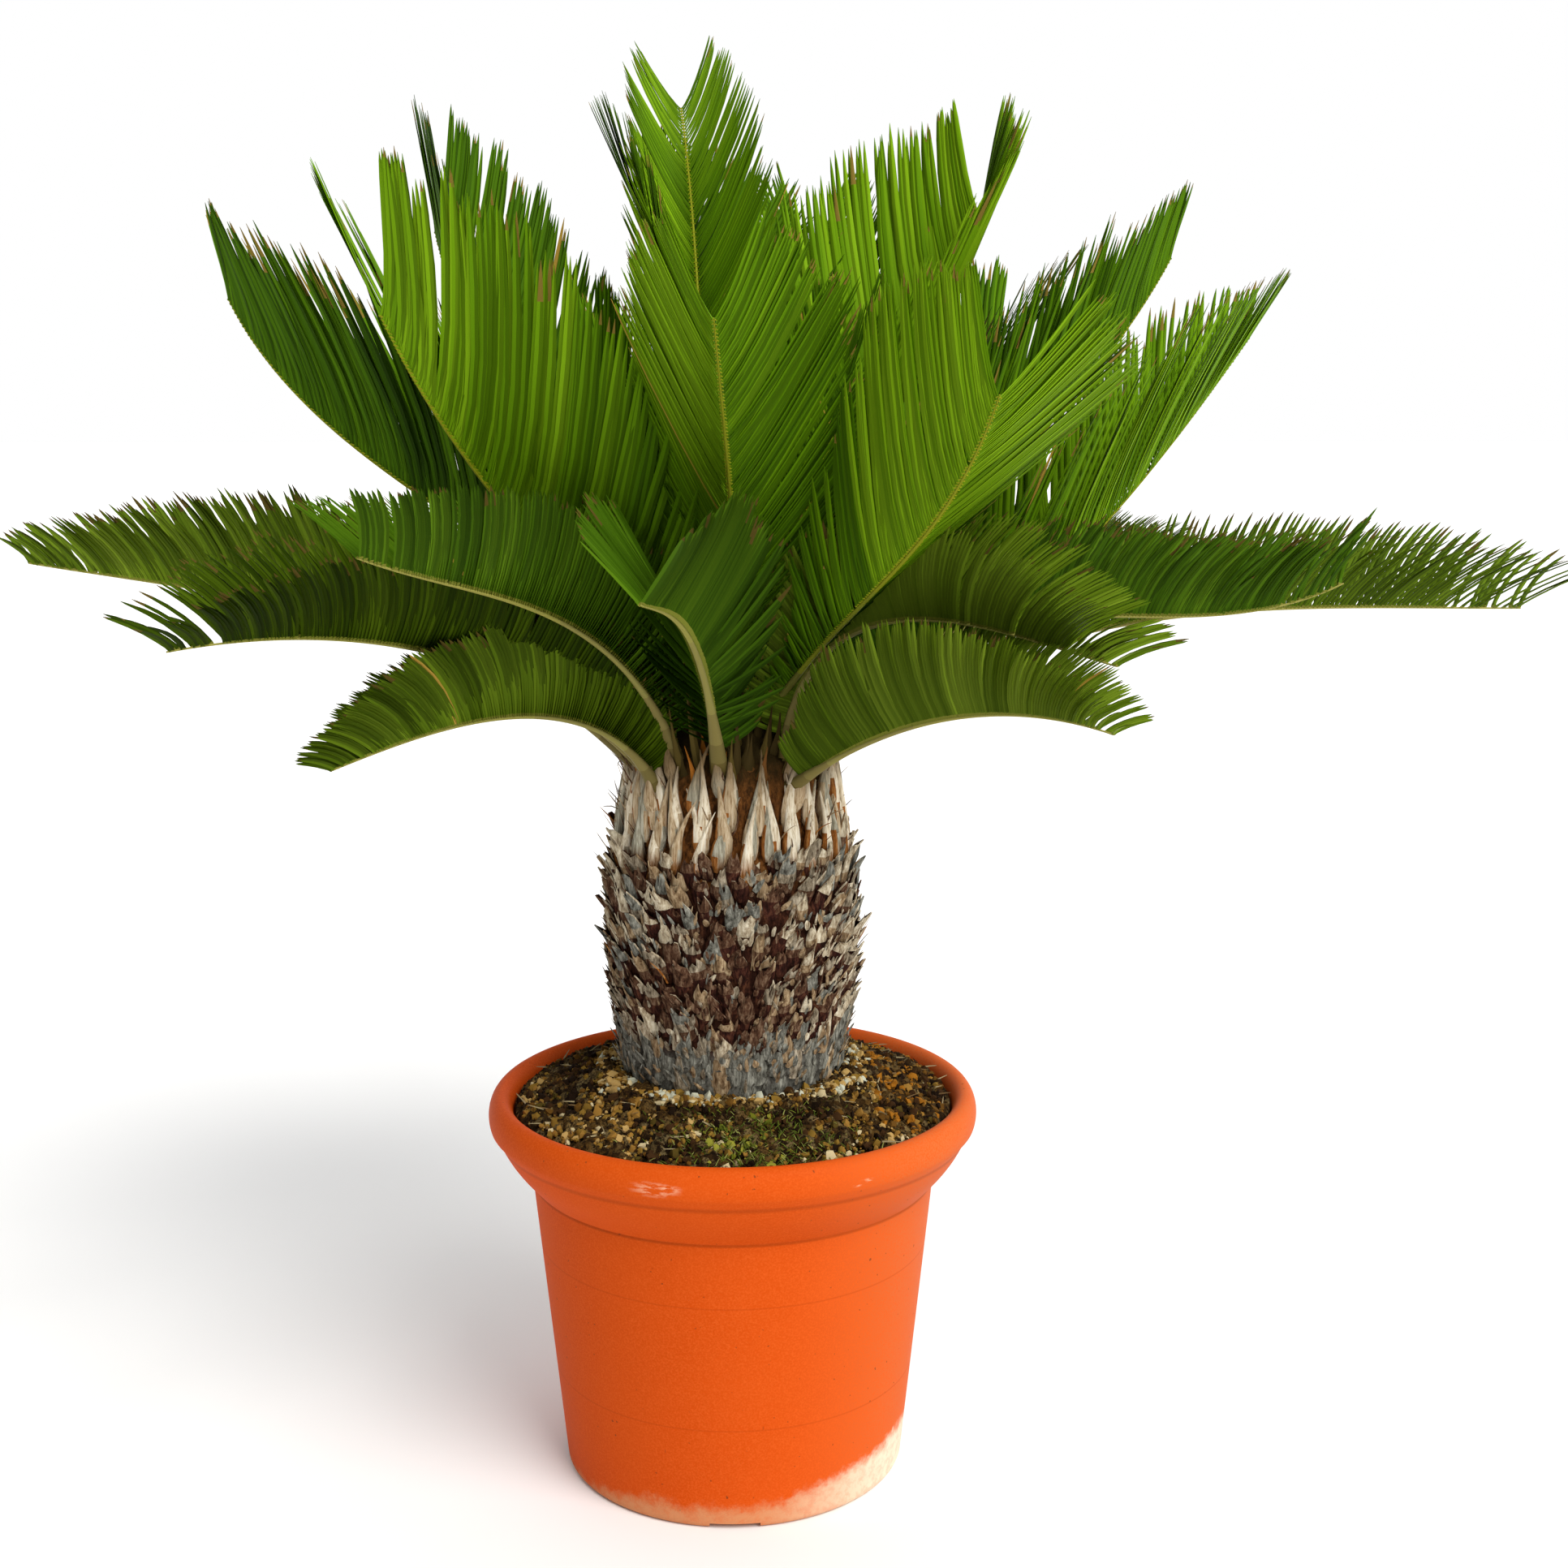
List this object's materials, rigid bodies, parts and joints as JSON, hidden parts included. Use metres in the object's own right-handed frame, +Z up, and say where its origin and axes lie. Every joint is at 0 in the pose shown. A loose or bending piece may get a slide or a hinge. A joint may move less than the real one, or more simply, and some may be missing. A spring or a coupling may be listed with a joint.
{
  "type": "sago palm",
  "caption": "Potted sago palm: a stout armoured trunk in a round plastic pot of soil, with a full two-tier crown of stiff feather-shaped fronds.",
  "frame": {"origin": "centre of the pot's flat underside", "axes": "+Z up along the pot's and the trunk's axis; the plant's best side faces -Y, with +X to its right"},
  "size_m": [0.9579, 0.8427, 0.8879],
  "materials": {
    "terracotta_plastic": "matte",
    "soil": "matte",
    "bark": "matte",
    "young_frond": "satin",
    "old_frond": "satin"
  },
  "bodies": {
    "root": {"pot": "terracotta_plastic", "soil": "soil", "trunk": "bark", "upper_frond_01": "young_frond", "upper_frond_02": "young_frond", "upper_frond_03": "young_frond", "upper_frond_04": "young_frond", "upper_frond_05": "young_frond", "upper_frond_06": "young_frond", "upper_frond_07": "young_frond", "upper_frond_08": "young_frond", "upper_frond_09": "young_frond", "upper_frond_10": "young_frond", "upper_frond_11": "young_frond", "upper_frond_12": "young_frond", "upper_frond_13": "young_frond", "upper_frond_14": "young_frond", "upper_frond_15": "young_frond", "lower_frond_01": "old_frond", "lower_frond_02": "old_frond", "lower_frond_03": "old_frond", "lower_frond_04": "old_frond", "lower_frond_05": "old_frond", "lower_frond_06": "old_frond", "lower_frond_07": "old_frond", "lower_frond_08": "old_frond", "lower_frond_09": "old_frond", "lower_frond_10": "old_frond", "lower_frond_11": "old_frond", "lower_frond_12": "old_frond", "lower_frond_13": "old_frond", "lower_frond_14": "old_frond", "lower_frond_15": "old_frond", "lower_frond_16": "old_frond"}
  },
  "joints": []
}
